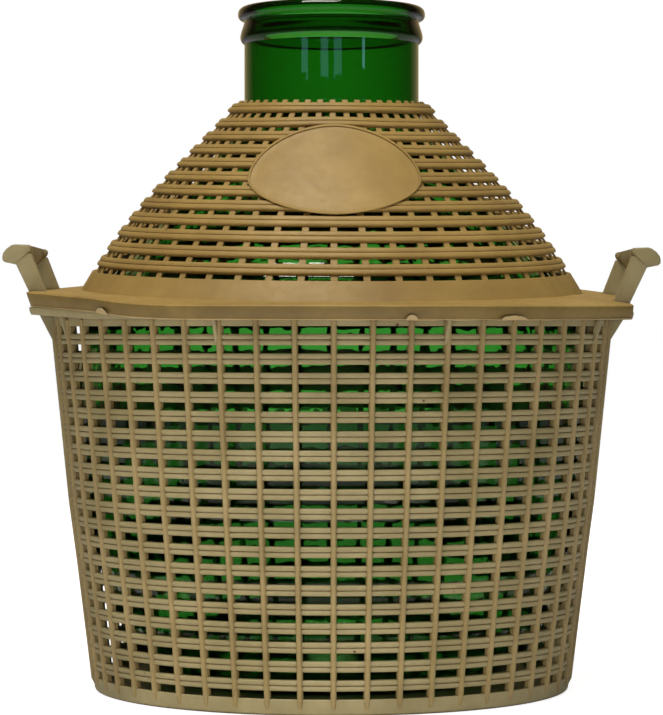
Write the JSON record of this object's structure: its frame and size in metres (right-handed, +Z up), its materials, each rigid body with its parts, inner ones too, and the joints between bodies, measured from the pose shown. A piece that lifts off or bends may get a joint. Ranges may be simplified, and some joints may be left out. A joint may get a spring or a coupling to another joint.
{
  "type": "demijohn",
  "caption": "Wide-mouth green glass demijohn in a plastic lattice basket with leaning loop handles and a conical lattice cover that follows its shoulder.",
  "frame": {"origin": "centre of the base of the basket, on the surface it stands on", "axes": "+Z up along the axis of the neck, +X towards the right handle, -Y towards the oval plate on the front of the cover"},
  "size_m": [0.48, 0.438, 0.51],
  "materials": {
    "green_glass": "blown, smooth, dark bottle green",
    "basket_plastic": "moulded, grey beige, slightly worn",
    "cover_plastic": "moulded, tan, slightly glossier than the basket"
  },
  "bodies": {
    "root": {"glass_vessel": "green_glass", "basket": "basket_plastic", "cover": "cover_plastic"}
  },
  "joints": []
}
